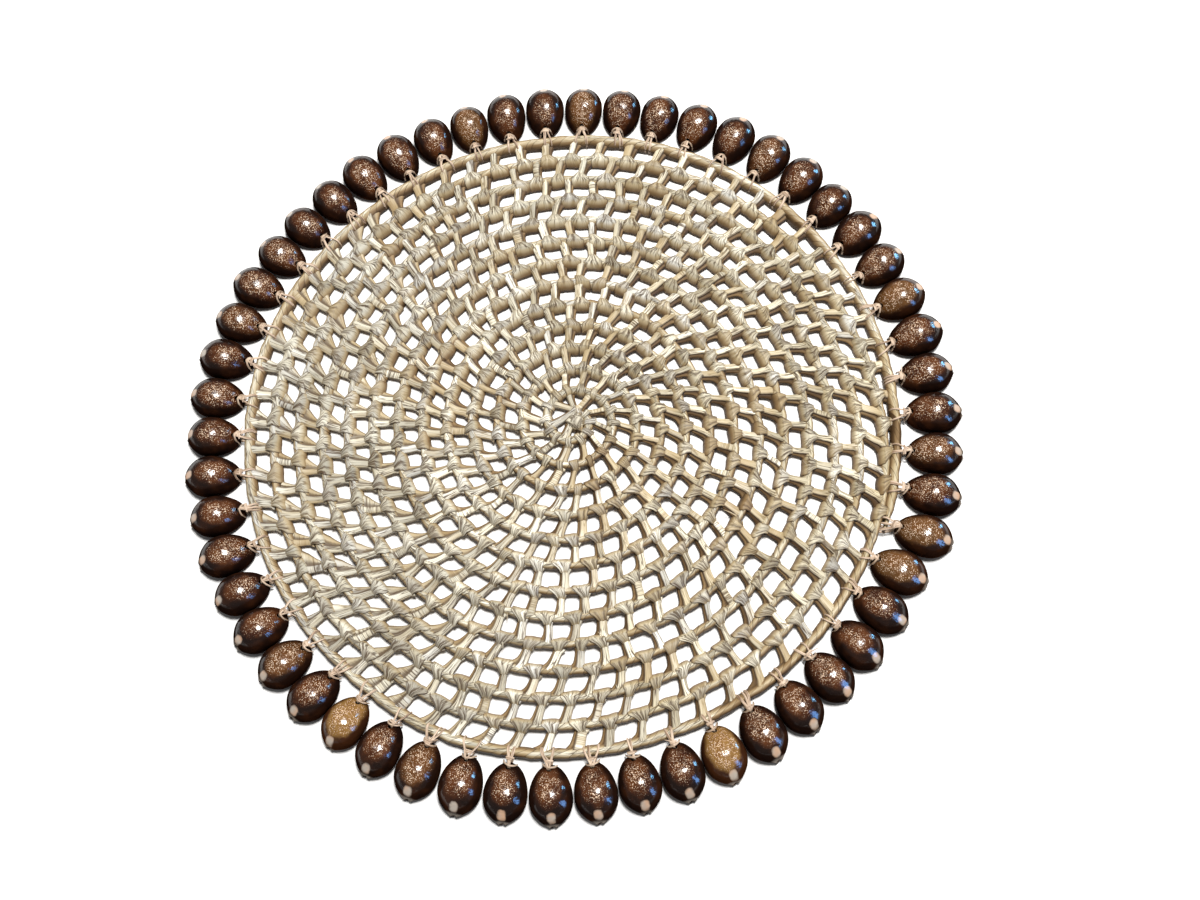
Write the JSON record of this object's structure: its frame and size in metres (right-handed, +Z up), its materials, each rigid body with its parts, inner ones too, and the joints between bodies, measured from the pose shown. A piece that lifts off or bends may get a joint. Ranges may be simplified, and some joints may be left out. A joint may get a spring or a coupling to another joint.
{
  "type": "coiled openwork placemat with cowrie border",
  "caption": "Flat round openwork mat of coiled, leaf-wrapped rows joined by spaced stitches, edged with glossy cowries tied on side by side",
  "frame": {"origin": "centre of the bounding box in plan, on the table plane the mat lies on", "axes": "+Z up out of the mat's face, +X to the right and +Y to the far side of the table setting"},
  "size_m": [0.3944, 0.3913, 0.0146],
  "materials": {
    "palm_leaf": "dry split palm leaf, pale straw to greyish beige, satin, browner at edges and creases",
    "cowrie": "natural high gloss, dark brown sides, back speckled cream over warm brown, pale blunt tip"
  },
  "bodies": {
    "root": {"mat": "palm_leaf", "cowrie_01": "cowrie", "cowrie_02": "cowrie", "cowrie_03": "cowrie", "cowrie_04": "cowrie", "cowrie_05": "cowrie", "cowrie_06": "cowrie", "cowrie_07": "cowrie", "cowrie_08": "cowrie", "cowrie_09": "cowrie", "cowrie_10": "cowrie", "cowrie_11": "cowrie", "cowrie_12": "cowrie", "cowrie_13": "cowrie", "cowrie_14": "cowrie", "cowrie_15": "cowrie", "cowrie_16": "cowrie", "cowrie_17": "cowrie", "cowrie_18": "cowrie", "cowrie_19": "cowrie", "cowrie_20": "cowrie", "cowrie_21": "cowrie", "cowrie_22": "cowrie", "cowrie_23": "cowrie", "cowrie_24": "cowrie", "cowrie_25": "cowrie", "cowrie_26": "cowrie", "cowrie_27": "cowrie", "cowrie_28": "cowrie", "cowrie_29": "cowrie", "cowrie_30": "cowrie", "cowrie_31": "cowrie", "cowrie_32": "cowrie", "cowrie_33": "cowrie", "cowrie_34": "cowrie", "cowrie_35": "cowrie", "cowrie_36": "cowrie", "cowrie_37": "cowrie", "cowrie_38": "cowrie", "cowrie_39": "cowrie", "cowrie_40": "cowrie", "cowrie_41": "cowrie", "cowrie_42": "cowrie", "cowrie_43": "cowrie", "cowrie_44": "cowrie", "cowrie_45": "cowrie", "cowrie_46": "cowrie", "cowrie_47": "cowrie", "cowrie_48": "cowrie", "cowrie_49": "cowrie", "cowrie_50": "cowrie", "cowrie_51": "cowrie", "cowrie_52": "cowrie", "cowrie_53": "cowrie", "cowrie_54": "cowrie"}
  },
  "joints": []
}
